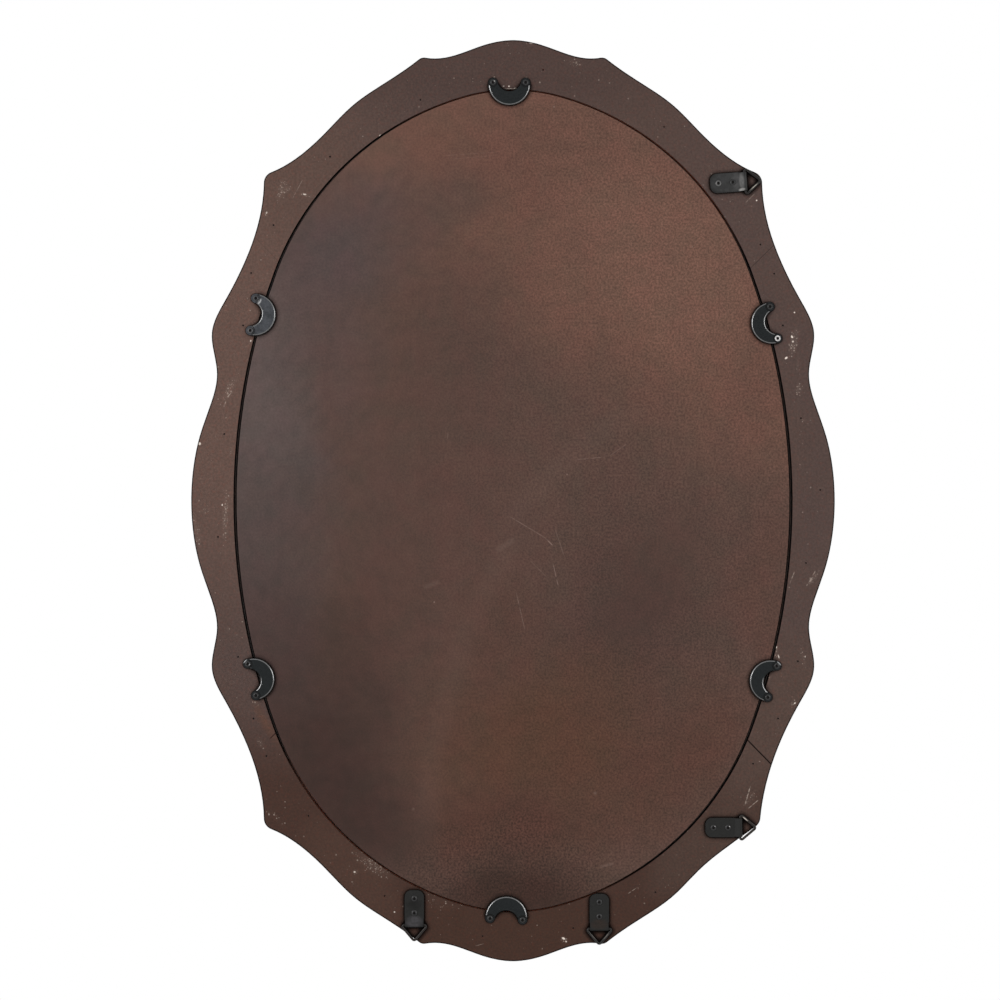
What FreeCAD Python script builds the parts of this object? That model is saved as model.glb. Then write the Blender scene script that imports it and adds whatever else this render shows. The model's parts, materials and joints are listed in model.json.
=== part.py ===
# Oval wall mirror with a scalloped wooden frame, made to hang upright or on its side.
#
# The frame is two layers of four members each, glued and pinned with brads from behind.
# The back layer's mitres lie near 45 degrees and the front layer's joints lie between them.
# The front layer reaches further in and makes the ledge that the glass lies on. A board
# backs the glass, and six crescent clips hold it. Four folded straps carry triangular rings.
#
# Millimetres. +Z is up, +Y points out of the back, and the origin is the middle of the back
# face of the frame. Left and right, and all angles, are as seen from behind.
import FreeCAD, Part
import math
import os

from FreeCAD import Placement, Rotation, Vector

SIZES = (
    # Oval opening of the back layer, and how full its three arcs are beside an ellipse's
    ("opening_half_width", 333.0),
    ("opening_half_height", 490.6),
    ("end_fullness", 0.934),
    ("haunch_fullness", 0.833),
    ("side_fullness", 1.097),
    # Scalloped outline: angles of a quarter's lobes, and the wood outside the opening
    ("crown_half_span", 11.6),
    ("shoulder_span", 25.8),
    ("band_crown", 59.3),
    ("band_crown_fall", 55.5),
    ("band_crown_hollow", 51.2),
    ("band_high_tip", 62.0),
    ("band_shoulder_run", 52.8),
    ("band_shoulder_swell", 50.8),
    ("band_shoulder_hollow", 46.0),
    ("band_shoulder_rise", 50.0),
    ("band_corner_tip", 70.0),
    ("band_flank_fall", 43.4),
    ("band_flank_hollow", 41.2),
    ("band_flank_run", 47.7),
    ("band_flank_swell", 52.8),
    ("band_notch_top", 35.6),
    ("band_notch_foot", 36.8),
    ("band_waist_low", 44.8),
    ("band_waist_high", 49.7),
    ("band_side", 51.2),
    ("high_tip_round", 10.0),
    ("corner_tip_round", 14.0),
    # Lower right corner, which is sawn blunter than the others
    ("band_blunt_rise", 52.0),
    ("band_blunt_tip", 65.5),
    # Back layer's joints: angle from level of the one at the lower right
    ("mitre_angle", 45.6),
    # Front layer: depth, ledge over the glass, and its moulded edges
    ("front_depth", 20.0),
    ("ledge_width", 10.0),
    ("face_round", 8.0),
    ("sight_bevel", 7.0),
    ("back_edge_round", 2.4),
    ("opening_edge_bevel", 0.7),
    # Glass and board, which together fill the back layer
    ("glass_depth", 5.0),
    ("board_depth", 6.0),
    ("glass_gap", 1.5),
    ("board_side_gap", 3.2),
    ("board_end_gap", 1.4),
    # Brads that hold the layers together
    ("brad_diameter", 1.8),
    ("brad_length", 18.0),
    ("brad_sunk", 1.6),
    ("brad_room", 0.2),
    # Crescent clips: a raised body between two flat ears
    ("clip_radius", 25.0),
    ("clip_depth", 3.4),
    ("clip_waist", 17.0),
    ("clip_horn_round", 5.4),
    ("clip_horn_rise", 2.2),
    ("clip_edge_round", 2.2),
    ("clip_ear_depth", 1.0),
    ("clip_ear_round", 5.8),
    # Where the clips sit: angle from upright or from level, way out from the opening's edge,
    # and turn from square to that edge. They were set by hand, so they are uneven.
    ("clip_top_off", 0.5),
    ("clip_top_seat", 6.2),
    ("clip_top_turn", -1.4),
    ("clip_bottom_off", 0.9),
    ("clip_bottom_seat", 6.5),
    ("clip_bottom_turn", -0.8),
    ("clip_upper_left_rise", 36.1),
    ("clip_upper_left_seat", 6.4),
    ("clip_upper_left_turn", 6.5),
    ("clip_upper_right_rise", 34.7),
    ("clip_upper_right_seat", 4.7),
    ("clip_upper_right_turn", -1.8),
    ("clip_lower_left_fall", 34.8),
    ("clip_lower_left_seat", 5.4),
    ("clip_lower_left_turn", -1.1),
    ("clip_lower_right_fall", 35.2),
    ("clip_lower_right_seat", 3.8),
    ("clip_lower_right_turn", -0.4),
    # Screws
    ("screw_diameter", 3.5),
    ("screw_head_diameter", 7.0),
    ("screw_head_height", 1.9),
    ("screw_head_rim", 0.5),
    ("screw_slot_width", 1.2),
    ("screw_slot_length", 3.6),
    ("screw_slot_depth", 1.3),
    ("screw_length", 11.0),
    ("screw_point", 3.0),
    ("screw_room", 0.2),
    # Folded strap hangers
    ("strap_width", 23.0),
    ("strap_length", 41.5),
    ("strap_metal", 1.0),
    ("strap_fold_gap", 0.1),
    ("strap_ramp_angle", 32.0),
    ("strap_loop_width", 22.0),
    ("strap_shoulder", 2.5),
    ("strap_end_flat", 7.0),
    ("strap_near_hole", 14.5),
    ("strap_hole_pitch", 17.3),
    # Triangular wire rings
    ("ring_wire", 3.0),
    ("ring_reach", 19.0),
    ("ring_side_room", 0.8),
    ("ring_bend_inside", 0.4),
    ("ring_tip_inside", 1.0),
    ("ring_seam", 0.6),
    ("ring_room", 0.2),
    # Where the hangers sit: angle from straight down or from level, and way in from the edge
    ("hanger_bottom_left_off", 13.1),
    ("hanger_bottom_right_off", 11.4),
    ("hanger_right_upper_rise", 54.0),
    ("hanger_right_lower_fall", 55.2),
    ("hanger_right_upper_tilt", 4.0),
    ("hanger_bottom_left_inset", 14.5),
    ("hanger_bottom_right_inset", 19.3),
    ("hanger_right_upper_inset", 15.6),
    ("hanger_right_lower_inset", 10.2),
)

# Angle round the frame of each brad and its share of the way from the opening to the edge.
# They were driven by hand, so they are uneven.
BRADS = (
    (2, 0.66), (16, 0.43), (33, 0.34), (41, 0.65), (46, 0.57), (68, 0.44), (86, 0.48),
    (103, 0.25), (118, 0.44), (131, 0.53), (139, 0.68), (147, 0.34), (167, 0.36), (187, 0.41),
    (209.6, 0.33), (220, 0.50), (226, 0.54), (237, 0.32), (252, 0.55), (266, 0.58), (278, 0.60),
    (290, 0.66), (312.4, 0.43), (320.6, 0.65), (330.6, 0.58), (348, 0.45),
)

doc = FreeCAD.newDocument("wall_mirror")
sheet = doc.addObject("Spreadsheet::Sheet", "Sizes")
for row, (name, value) in enumerate(SIZES, start=1):
    sheet.set(f"A{row}", name)
    sheet.set(f"B{row}", str(value))
    sheet.setAlias(f"B{row}", name)
doc.recompute()


def size(name):
    return float(sheet.get(name))


def bind(feature, prop, expression):
    """Ties a feature's property to an expression of the sheet's cells, named plainly"""
    names = [name for name, value in SIZES]
    tied = [f"Sizes.{word}" if word in names else word for word in expression.split(" ")]
    feature.setExpression(prop, " ".join(tied))


def new_body(name):
    body = doc.addObject("PartDesign::Body", name)
    body.Label = name
    return body


def sketch_on(body, role, geometry, offset=None):
    """A sketch of the given curves on one of the body's own planes, offset by an expression"""
    plane = next(part for part in body.Origin.OriginFeatures if part.Role == role)
    sketch = body.newObject("Sketcher::SketchObject", f"{body.Name}_sketch")
    sketch.AttachmentSupport = [(plane, "")]
    sketch.MapMode = "FlatFace"
    if offset:
        bind(sketch, "AttachmentOffset.Base.z", offset)
    sketch.addGeometry(geometry, False)
    return sketch


def pad(body, sketch, length, symmetric=False):
    feature = body.newObject("PartDesign::Pad", f"{body.Name}_pad")
    feature.Profile = sketch
    bind(feature, "Length", length)
    if symmetric:
        feature.SideType = "Symmetric"
    sketch.Visibility = False
    doc.recompute()
    return feature


def pocket(body, sketch, length):
    """Cuts a sketch's outline down into the body"""
    before = body.Shape.Volume
    feature = body.newObject("PartDesign::Pocket", f"{body.Name}_pocket")
    feature.Profile = sketch
    bind(feature, "Length", length)
    sketch.Visibility = False
    doc.recompute()
    if feature.Shape.Volume >= before:
        raise RuntimeError(f"{body.Label}: the pocket cuts nothing")
    return feature


def round_edges(body, base, kind, prop, value, wanted):
    """A Fillet or Chamfer of the base's edges that the wanted test picks"""
    picked = [f"Edge{n}" for n, edge in enumerate(base.Shape.Edges, start=1) if wanted(edge)]
    if not picked:
        raise RuntimeError(f"{body.Label}: no edges to round")
    feature = body.newObject(f"PartDesign::{kind}", f"{body.Name}_{kind}")
    feature.Base = (base, picked)
    bind(feature, prop, value)
    doc.recompute()
    return feature


def line(start, end):
    return Part.LineSegment(start, end)


def arc(centre, radius, first, last):
    """An arc from the first to the last angle, anticlockwise, in degrees"""
    circle = Part.Circle(centre, Vector(0, 0, 1), radius)
    return Part.ArcOfCircle(circle, math.radians(first), math.radians(last))


def bearing(vector):
    return math.degrees(math.atan2(vector.y, vector.x))


# Oval opening


def oval_quarter(half_width, half_height):
    """Centre and radius of the side, haunch and end arcs of an oval's first quarter"""
    end_radius = size("end_fullness") * half_width**2 / half_height
    side_radius = size("side_fullness") * half_height**2 / half_width
    haunch_radius = size("haunch_fullness") * math.sqrt(end_radius * side_radius)
    end_centre = Vector(0, half_height - end_radius, 0)
    side_centre = Vector(half_width - side_radius, 0, 0)
    # The haunch arc touches both of the others inside
    line_of_centres = end_centre - side_centre
    span = line_of_centres.Length
    to_side = side_radius - haunch_radius
    to_end = haunch_radius - end_radius
    along = (span**2 + to_side**2 - to_end**2) / (2 * span)
    across = math.sqrt(to_side**2 - along**2)
    unit = line_of_centres / span
    haunch_centre = side_centre + unit * along + Vector(unit.y, -unit.x, 0) * across
    return (
        (side_centre, side_radius),
        (haunch_centre, haunch_radius),
        (end_centre, end_radius),
    )


def oval_joins(quarter):
    """Angles at which the side arc gives way to the haunch, and the haunch to the end arc"""
    (side_centre, _), (haunch_centre, _), (end_centre, _) = quarter
    return bearing(haunch_centre - side_centre), bearing(end_centre - haunch_centre)


def oval_curves(half_width, half_height):
    quarter = oval_quarter(half_width, half_height)
    (side_centre, side_radius), (haunch_centre, haunch_radius), (end_centre, end_radius) = quarter
    low, high = oval_joins(quarter)
    curves = []
    for half_turn in (0, 180):
        sign = 1 if half_turn == 0 else -1
        mirrored = Vector(-haunch_centre.x, haunch_centre.y, 0)
        curves.append(arc(side_centre * sign, side_radius, half_turn - low, half_turn + low))
        curves.append(arc(haunch_centre * sign, haunch_radius, half_turn + low, half_turn + high))
        curves.append(arc(end_centre * sign, end_radius, half_turn + high, half_turn + 180 - high))
        curves.append(
            arc(mirrored * sign, haunch_radius, half_turn + 180 - high, half_turn + 180 - low)
        )
    return curves


OPENING = oval_quarter(size("opening_half_width"), size("opening_half_height"))


def direction(angle):
    """Unit vector in the frame's plane. Angles run anticlockwise from the right, from behind"""
    turn = math.radians(angle)
    return Vector(-math.cos(turn), math.sin(turn), 0)


def opening_point(angle):
    """Where a ray from the middle meets the opening's edge, and the edge's outward normal"""
    ray = direction(angle)
    folded = Vector(abs(ray.x), abs(ray.y), 0)
    low, high = oval_joins(OPENING)
    for (centre, radius), limit in zip(OPENING, (low, high, 90)):
        ahead = centre.dot(folded)
        reach = ahead + math.sqrt(ahead**2 - centre.dot(centre) + radius**2)
        normal = (folded * reach - centre) / radius
        if bearing(normal) <= limit:
            break
    outward = Vector(math.copysign(normal.x, ray.x), math.copysign(normal.y, ray.y), 0)
    return ray * reach, outward


# Scalloped outline


def lobe(names, first_angle, last_angle):
    """Points of one lobe: evenly spaced rays, each with its own band of wood"""
    points = []
    for step, name in enumerate(names):
        angle = first_angle + (last_angle - first_angle) * step / (len(names) - 1)
        points.append(opening_point(angle)[0] + direction(angle) * size(name))
    return points


def flipped(points, x_sign, y_sign):
    return [Vector(point.x * x_sign, point.y * y_sign, 0) for point in points]


def spline(points):
    curve = Part.BSplineCurve()
    curve.interpolate(points)
    return curve


HIGH_TIP = 90 - size("crown_half_span")
CORNER_TIP = HIGH_TIP - size("shoulder_span")


def shoulder_and_flank(rise, tip):
    """Points of a quarter's two lobes, which meet at a corner with this rise and tip"""
    shoulder = lobe(
        ("band_high_tip", "band_shoulder_run", "band_shoulder_swell", "band_shoulder_hollow",
         rise, tip),
        HIGH_TIP, CORNER_TIP,
    )
    flank = lobe(
        (tip, "band_flank_fall", "band_flank_hollow", "band_flank_run", "band_flank_swell",
         "band_notch_top", "band_notch_foot", "band_waist_low", "band_waist_high", "band_side"),
        CORNER_TIP, 0,
    )
    return shoulder, flank


def outline_curves():
    """Eight curves from tip to tip: crown, shoulder, flank, shoulder and so on round the frame"""
    crown = lobe(
        ("band_crown", "band_crown_fall", "band_crown_hollow", "band_high_tip"), 90, HIGH_TIP
    )
    shoulder, flank = shoulder_and_flank("band_shoulder_rise", "band_corner_tip")
    blunt_shoulder, blunt_flank = shoulder_and_flank("band_blunt_rise", "band_blunt_tip")
    crown_top = flipped(crown[:0:-1], -1, 1) + crown
    right_flank = flank + flipped(blunt_flank[-2::-1], 1, -1)
    left_flank = flipped(flank, -1, -1) + flipped(flank[-2::-1], -1, 1)
    return [
        spline(crown_top),
        spline(shoulder),
        spline(right_flank),
        spline(flipped(blunt_shoulder[::-1], 1, -1)),
        spline(flipped(crown_top[::-1], 1, -1)),
        spline(flipped(shoulder, -1, -1)),
        spline(left_flank),
        spline(flipped(shoulder[::-1], -1, 1)),
    ]


OUTLINE = outline_curves()
OUTLINE_WIRE = Part.Wire([curve.toShape() for curve in OUTLINE])
FAR = 2 * size("opening_half_height")


def edge_point(angle):
    """Where a ray from the middle meets the frame's outline"""
    ray = Part.makeLine(Vector(), direction(angle) * FAR)
    return OUTLINE_WIRE.distToShape(ray)[1][0][0]


def band_point(angle, share):
    inner = opening_point(angle)[0]
    return inner + (edge_point(angle) - inner) * share


def on_back(point, angle, height=0.0):
    """Placement on the frame's back: local X runs along the angle, local Z stands off the wood"""
    turn = Rotation(Vector(0, 1, 0), 180 + angle) * Rotation(Vector(1, 0, 0), -90)
    return Placement(Vector(point.x, height, point.y), turn)


# Frame layers, each a whole ring that is then parted into members


def is_tip_edge(edge, curve):
    """True for the edge across the layer at the point where the curve starts"""
    start = curve.StartPoint
    ends = [vertex.Point for vertex in edge.Vertexes]
    return len(ends) == 2 and all(math.hypot(p.x - start.x, p.z - start.y) < 0.01 for p in ends)


def frame_layer(name, depth, start, inset):
    """Ring from the outline to an oval that is inset from the opening, with rounded tips"""
    body = new_body(name)
    inner = oval_curves(
        size("opening_half_width") - inset,
        size("opening_half_height") - inset,
    )
    ring = pad(body, sketch_on(body, "XZ_Plane", OUTLINE + inner, start), depth)
    high_tips = [OUTLINE[n] for n in (0, 1, 4, 5)]
    corner_tips = [OUTLINE[n] for n in (2, 3, 6, 7)]
    for curves, radius in ((high_tips, "high_tip_round"), (corner_tips, "corner_tip_round")):
        ring = round_edges(
            body, ring, "Fillet", "Radius", radius,
            lambda edge: any(is_tip_edge(edge, curve) for curve in curves),
        )
    return body, ring


def lies_at(edge, depth):
    return all(abs(vertex.Point.y + depth) < 0.01 for vertex in edge.Vertexes)


def is_outer(edge):
    """True for an edge on the outline and not on the oval inside it"""
    middle = edge.valueAt((edge.FirstParameter + edge.LastParameter) / 2)
    angle = math.degrees(math.atan2(middle.z, -middle.x))
    return math.hypot(middle.x, middle.z) > opening_point(angle)[0].Length + 1


BACK_DEPTH = size("glass_depth") + size("board_depth")
FULL_DEPTH = BACK_DEPTH + size("front_depth")

back_layer, back_ring = frame_layer(
    "back_layer", "glass_depth + board_depth", None, 0,
)
back_ring = round_edges(
    back_layer, back_ring, "Fillet", "Radius", "back_edge_round",
    lambda edge: lies_at(edge, 0) and is_outer(edge),
)
round_edges(
    back_layer, back_ring, "Chamfer", "Size", "opening_edge_bevel",
    lambda edge: lies_at(edge, 0) and not is_outer(edge),
)

front_layer, front_ring = frame_layer(
    "front_layer", "front_depth", "glass_depth + board_depth", size("ledge_width"),
)
front_ring = round_edges(
    front_layer, front_ring, "Fillet", "Radius", "face_round",
    lambda edge: lies_at(edge, FULL_DEPTH) and is_outer(edge),
)
round_edges(
    front_layer, front_ring, "Chamfer", "Size", "sight_bevel",
    lambda edge: lies_at(edge, FULL_DEPTH) and not is_outer(edge),
)


# Glass and backing board


def oval_plate(name, depth, start, half_width, half_height):
    body = new_body(name)
    pad(body, sketch_on(body, "XZ_Plane", oval_curves(half_width, half_height), start), depth)
    return body


mirror_glass = oval_plate(
    "mirror_glass", "glass_depth", "board_depth",
    size("opening_half_width") - size("glass_gap"),
    size("opening_half_height") - size("glass_gap"),
)
backing_board = oval_plate(
    "backing_board", "board_depth", None,
    size("opening_half_width") - size("board_side_gap"),
    size("opening_half_height") - size("board_end_gap"),
)


# Crescent clips: local X points away from the middle of the mirror

HORN_CIRCLE = size("clip_radius") - size("clip_horn_round")
HORN_SPREAD = math.sqrt(HORN_CIRCLE**2 - size("clip_horn_rise") ** 2)
HORNS = [Vector(size("clip_horn_rise"), sign * HORN_SPREAD, 0) for sign in (1, -1)]


def clip_curves():
    """Crescent outline with round horns, and a screw hole in each horn"""
    radius = size("clip_radius")
    horn_round = size("clip_horn_round")
    horn, low_horn = HORNS
    # The hollow touches both horns outside and leaves the waist's width at the middle
    waist = size("clip_waist") - radius
    rise = horn.x - waist
    hollow = (horn.y**2 + rise**2 - horn_round**2) / (2 * (rise + horn_round))
    centre = Vector(waist + hollow, 0, 0)
    outer_end = bearing(horn)
    touch = bearing(horn - centre)
    hole = size("screw_diameter") / 2 + size("screw_room")
    return [
        arc(Vector(), radius, outer_end, 360 - outer_end),
        arc(low_horn, horn_round, -outer_end, 180 - touch),
        arc(centre, hollow, touch, 360 - touch),
        arc(horn, horn_round, touch - 180, outer_end),
        Part.Circle(horn, Vector(0, 0, 1), hole),
        Part.Circle(low_horn, Vector(0, 0, 1), hole),
    ]


def is_clip_rim(edge):
    """True for an edge round the top of a clip, but not round its screw holes"""
    top = all(abs(vertex.Point.z - size("clip_depth")) < 0.01 for vertex in edge.Vertexes)
    return top and edge.Curve.Radius > size("screw_diameter")


def clip(name, angle):
    body = new_body(f"clip_{name}")
    plate = pad(body, sketch_on(body, "XY_Plane", clip_curves()), "clip_depth")
    round_edges(body, plate, "Fillet", "Radius", "clip_edge_round", is_clip_rim)
    ears = [Part.Circle(horn, Vector(0, 0, 1), size("clip_ear_round")) for horn in HORNS]
    pocket(body, sketch_on(body, "XY_Plane", ears, "clip_depth"), "clip_depth - clip_ear_depth")
    point, outward = opening_point(angle)
    square = math.degrees(math.atan2(outward.y, -outward.x))
    seat = point + outward * size(f"clip_{name}_seat")
    body.Placement = on_back(seat, square + size(f"clip_{name}_turn"))
    return body


CLIP_ANGLES = {
    "top": 90 + size("clip_top_off"),
    "bottom": 270 - size("clip_bottom_off"),
    "upper_left": 180 - size("clip_upper_left_rise"),
    "upper_right": size("clip_upper_right_rise"),
    "lower_left": 180 + size("clip_lower_left_fall"),
    "lower_right": -size("clip_lower_right_fall"),
}
clips = [clip(name, angle) for name, angle in CLIP_ANGLES.items()]


# Strap hangers: local X runs towards the ring and the loop's axis is above local zero

LOOP_INSIDE = size("ring_wire") / 2 + size("ring_room")
LOOP_OUTSIDE = LOOP_INSIDE + size("strap_metal")
UPPER_LEAF = size("strap_metal") + size("strap_fold_gap")
STRAP_TOP = UPPER_LEAF + size("strap_metal")
RAMP = math.radians(size("strap_ramp_angle"))


def ramp_line(radius, foot_height):
    """Where the strip leaves the loop at this radius, and where its ramp comes down"""
    leave = Vector(-radius * math.sin(RAMP), LOOP_OUTSIDE + radius * math.cos(RAMP), 0)
    foot = Vector(leave.x - (leave.y - foot_height) / math.tan(RAMP), foot_height, 0)
    return leave, foot


OUTER_LEAVE, OUTER_FOOT = ramp_line(LOOP_OUTSIDE, STRAP_TOP)
INNER_LEAVE, INNER_FOOT = ramp_line(LOOP_INSIDE, UPPER_LEAF)


def strap_section():
    """The strip from the side: lower leaf, loop round the ring, ramp and upper leaf"""
    metal = size("strap_metal")
    far = -size("strap_length")
    centre = Vector(0, LOOP_OUTSIDE, 0)
    leave_angle = 90 + size("strap_ramp_angle")
    return [
        line(Vector(far, 0, 0), Vector(0, 0, 0)),
        arc(centre, LOOP_OUTSIDE, -90, leave_angle),
        line(OUTER_LEAVE, OUTER_FOOT),
        line(OUTER_FOOT, Vector(far, STRAP_TOP, 0)),
        line(Vector(far, STRAP_TOP, 0), Vector(far, UPPER_LEAF, 0)),
        line(Vector(far, UPPER_LEAF, 0), INNER_FOOT),
        line(INNER_FOOT, INNER_LEAVE),
        arc(centre, LOOP_INSIDE, -90, leave_angle),
        line(Vector(0, metal, 0), Vector(far, metal, 0)),
        line(Vector(far, metal, 0), Vector(far, 0, 0)),
    ]


NEAR_SCREW = Vector(-size("strap_near_hole"), 0, 0)
FAR_SCREW = NEAR_SCREW - Vector(size("strap_hole_pitch"), 0, 0)


def strap_plan():
    """The folded strap from above: rounded end, straight sides, and a narrower loop"""
    half = size("strap_width") / 2
    loop_half = size("strap_loop_width") / 2
    front = LOOP_OUTSIDE + size("strap_metal")
    neck = INNER_FOOT.x
    shoulder = neck - size("strap_shoulder")
    end = -size("strap_length")
    end_half = size("strap_end_flat") / 2
    end_round = half - end_half
    hole = size("screw_diameter") / 2 + size("screw_room")
    side = [
        Vector(end + end_round, half, 0),
        Vector(shoulder, half, 0),
        Vector(neck, loop_half, 0),
        Vector(front, loop_half, 0),
    ]
    corners = side + flipped(side[::-1], 1, -1)
    curves = [line(start, end) for start, end in zip(corners, corners[1:])]
    curves.append(arc(Vector(end + end_round, end_half, 0), end_round, 90, 180))
    curves.append(line(Vector(end, end_half, 0), Vector(end, -end_half, 0)))
    curves.append(arc(Vector(end + end_round, -end_half, 0), end_round, 180, 270))
    curves += [Part.Circle(spot, Vector(0, 0, 1), hole) for spot in (NEAR_SCREW, FAR_SCREW)]
    return curves


def strap(name, placement):
    strip = new_body(f"strip_{name}")
    pad(strip, sketch_on(strip, "XZ_Plane", strap_section()), "strap_width", symmetric=True)
    plan = new_body(f"plan_{name}")
    pad(plan, sketch_on(plan, "XY_Plane", strap_plan()), "strap_length")
    strip.Placement = placement
    plan.Placement = placement
    trimmed = doc.addObject("Part::Common", f"hanger_strap_{name}")
    trimmed.Base = strip
    trimmed.Tool = plan
    return trimmed


# Triangular rings: bent from one wire whose ends meet inside the loop


def ring_corner():
    """Half the width of the ring at its base, so that its sides clear the loop's front corners"""
    reach = size("ring_reach")
    wire = size("ring_wire") / 2
    clear = size("strap_loop_width") / 2 + size("ring_side_room")
    # A side's thickness along the base grows with its slope, which makes this a quadratic
    share = 1 - LOOP_OUTSIDE / reach
    lead = share**2 - (wire / reach) ** 2
    root = math.sqrt((share * clear) ** 2 - lead * (clear**2 - wire**2))
    return (share * clear + root) / lead


def ring_path():
    corner = Vector(0, ring_corner(), 0)
    tip = Vector(size("ring_reach"), 0, 0)
    slope = math.degrees(math.atan2(tip.x, corner.y))
    side = (tip - corner).normalize()
    bend = size("ring_wire") / 2 + size("ring_bend_inside")
    tip_bend = size("ring_wire") / 2 + size("ring_tip_inside")
    cut_back = bend / math.tan(math.radians(slope / 2))
    tip_cut_back = tip_bend * math.tan(math.radians(slope))
    base_end = corner - Vector(0, cut_back, 0)
    side_start = corner + side * cut_back
    side_end = tip - side * tip_cut_back
    bend_centre = base_end + Vector(bend, 0, 0)
    tip_centre = tip - Vector(tip_bend / math.cos(math.radians(slope)), 0, 0)
    seam = Vector(0, size("ring_seam") / 2, 0)
    return [
        line(seam, base_end),
        arc(bend_centre, bend, slope, 180),
        line(side_start, side_end),
        arc(tip_centre, tip_bend, -slope, slope),
        line(flipped([side_end], 1, -1)[0], flipped([side_start], 1, -1)[0]),
        arc(flipped([bend_centre], 1, -1)[0], bend, 180, 360 - slope),
        line(flipped([base_end], 1, -1)[0], flipped([seam], 1, -1)[0]),
    ]


def ring(name, placement):
    body = new_body(f"hanger_ring_{name}")
    height = "ring_wire / 2 + ring_room + strap_metal"
    path = sketch_on(body, "XY_Plane", ring_path(), height)
    wire = Part.Circle(Vector(0, LOOP_OUTSIDE, 0), Vector(0, 0, 1), size("ring_wire") / 2)
    section = sketch_on(body, "XZ_Plane", [wire], "0 - ring_seam / 2")
    doc.recompute()
    pipe = body.newObject("PartDesign::AdditivePipe", f"{body.Name}_pipe")
    pipe.Profile = section
    pipe.Spine = path
    path.Visibility = False
    section.Visibility = False
    body.Placement = placement
    return body


HANGERS = {
    "bottom_left": (270 - size("hanger_bottom_left_off"), 270),
    "bottom_right": (270 + size("hanger_bottom_right_off"), 270),
    "right_upper": (size("hanger_right_upper_rise"), size("hanger_right_upper_tilt")),
    "right_lower": (-size("hanger_right_lower_fall"), 0),
}
hanger_places = {}
for name, (angle, facing) in HANGERS.items():
    spot = edge_point(angle) - direction(angle) * size(f"hanger_{name}_inset")
    hanger_places[name] = on_back(spot, facing)
straps = [strap(name, place) for name, place in hanger_places.items()]
rings = [ring(name, place) for name, place in hanger_places.items()]


# Screws and brads


def screw_section():
    """Half of a screw with a domed head, the head's seat at zero"""
    head = size("screw_head_diameter") / 2
    height = size("screw_head_height")
    rim = size("screw_head_rim")
    shank = size("screw_diameter") / 2
    length = size("screw_length")
    corners = [
        Vector(head, rim, 0),
        Vector(head, 0, 0),
        Vector(shank, 0, 0),
        Vector(shank, size("screw_point") - length, 0),
        Vector(0, -length, 0),
        Vector(0, height, 0),
    ]
    rise = height - rim
    dome = (head**2 + rise**2) / (2 * rise)
    centre = Vector(0, height - dome, 0)
    sides = [line(start, end) for start, end in zip(corners, corners[1:])]
    return sides + [arc(centre, dome, bearing(corners[0] - centre), 90)]


def cross_curves():
    """Outline of the cross recess in a screw's head"""
    reach = size("screw_slot_length") / 2
    half = size("screw_slot_width") / 2
    arm = [Vector(reach, -half, 0), Vector(reach, half, 0), Vector(half, half, 0)]
    corners = []
    for quarter in range(4):
        turn = Rotation(Vector(0, 0, 1), 90 * quarter)
        corners += [turn.multVec(corner) for corner in arm]
    return [line(start, end) for start, end in zip(corners, corners[1:] + corners[:1])]


def screw_pattern():
    body = new_body("screw_pattern")
    turned = body.newObject("PartDesign::Revolution", "screw_turned")
    turned.Profile = sketch_on(body, "XZ_Plane", screw_section())
    turned.ReferenceAxis = (turned.Profile[0], ["V_Axis"])
    doc.recompute()
    recess = sketch_on(body, "XY_Plane", cross_curves(), "screw_head_height")
    pocket(body, recess, "screw_slot_depth")
    return body


def brad_pattern():
    brad = doc.addObject("Part::Cylinder", "brad_pattern")
    bind(brad, "Radius", "brad_diameter / 2")
    bind(brad, "Height", "brad_length")
    doc.recompute()
    return brad


def group(name, shape, places):
    """One node that holds a separate copy of a fastener at each place"""
    copies = []
    for place in places:
        copy = shape.copy()
        copy.Placement = place.multiply(shape.Placement)
        copies.append(copy)
    node = doc.addObject("Part::Feature", name)
    node.Shape = Part.makeCompound(copies)
    return node


def drill(places, radius, depth):
    """Holes that run into the wood from the places' zero, down their local Z"""
    holes = []
    for place in places:
        hole = Part.makeCylinder(radius, depth, Vector(), Vector(0, 0, -1))
        hole.Placement = place
        holes.append(hole)
    return holes


def raised(place, spot, height):
    return place.multiply(Placement(spot + Vector(0, 0, height), Rotation()))


strap_spots = [NEAR_SCREW, FAR_SCREW]
clip_seats = [raised(c.Placement, s, size("clip_ear_depth")) for c in clips for s in HORNS]
strap_seats = [raised(p, s, STRAP_TOP) for p in hanger_places.values() for s in strap_spots]
brad_tops = [on_back(band_point(angle, share), 0) for angle, share in BRADS]
brad_feet = [raised(p, Vector(), -size("brad_sunk") - size("brad_length")) for p in brad_tops]

screw = screw_pattern()
brad = brad_pattern()
clip_screws = group("clip_screws", screw.Shape, clip_seats)
hanger_screws = group("hanger_screws", screw.Shape, strap_seats)
frame_brads = group("frame_brads", brad.Shape, brad_feet)

screw_bore = size("screw_diameter") / 2 + size("screw_room")
screw_depth = size("screw_length") + size("screw_room")
brad_bore = size("brad_diameter") / 2 + size("brad_room")
brad_depth = size("brad_sunk") + size("brad_length") + size("brad_room")
holes = doc.addObject("Part::Feature", "frame_holes")
holes.Shape = Part.makeCompound(
    drill(clip_seats + strap_seats, screw_bore, screw_depth)
    + drill(brad_tops, brad_bore, brad_depth)
)


# Frame members: quarters of the drilled layers


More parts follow.
